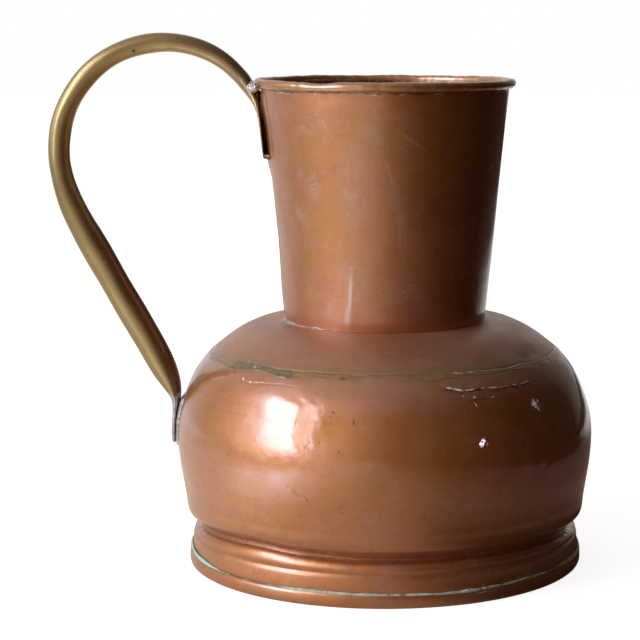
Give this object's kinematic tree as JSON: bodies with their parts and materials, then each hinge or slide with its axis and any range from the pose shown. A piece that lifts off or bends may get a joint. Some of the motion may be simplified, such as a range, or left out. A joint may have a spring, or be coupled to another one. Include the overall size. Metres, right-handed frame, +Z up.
{
  "type": "water jug",
  "caption": "Broad round-bodied water jug of sheet metal with a tall neck, a wired rim, a footed base and a looped tube handle.",
  "frame": {"origin": "centre of the flat base on the jug's axis, at the surface it stands on", "axes": "+Z up along the axis of the vessel, the handle towards -X"},
  "size_m": [0.2609, 0.2002, 0.2536],
  "materials": {
    "copper_neck": "aged copper sheet, burnished with brown patina",
    "copper_shoulder": "aged copper sheet, matte pinkish brown",
    "copper_bowl": "aged copper sheet, hammered smooth, brown patina",
    "copper_foot": "aged copper sheet with verdigris in the grooves",
    "copper_base": "dull copper sheet, dark patina",
    "copper_patch": "dull copper sheet, dark patina",
    "brass_tube": "tarnished yellow brass",
    "seam_braze": "rough olive brass braze",
    "solder": "dull tin-lead solder",
    "green_seam": "solder covered with pale green verdigris",
    "iron_wire": "plain drawn iron wire"
  },
  "bodies": {
    "root": {"neck": "copper_neck", "rim_wire": "iron_wire", "neck_seam": "seam_braze", "neck_patch": "copper_patch", "neck_solder": "solder", "shoulder": "copper_shoulder", "shoulder_braze": "seam_braze", "bowl": "copper_bowl", "foot_ring": "copper_foot", "foot_solder": "solder", "base_plate": "copper_base", "base_solder": "green_seam", "handle": "brass_tube", "upper_tab_braze": "seam_braze", "rim_solder": "solder", "lower_solder": "solder"}
  },
  "joints": []
}
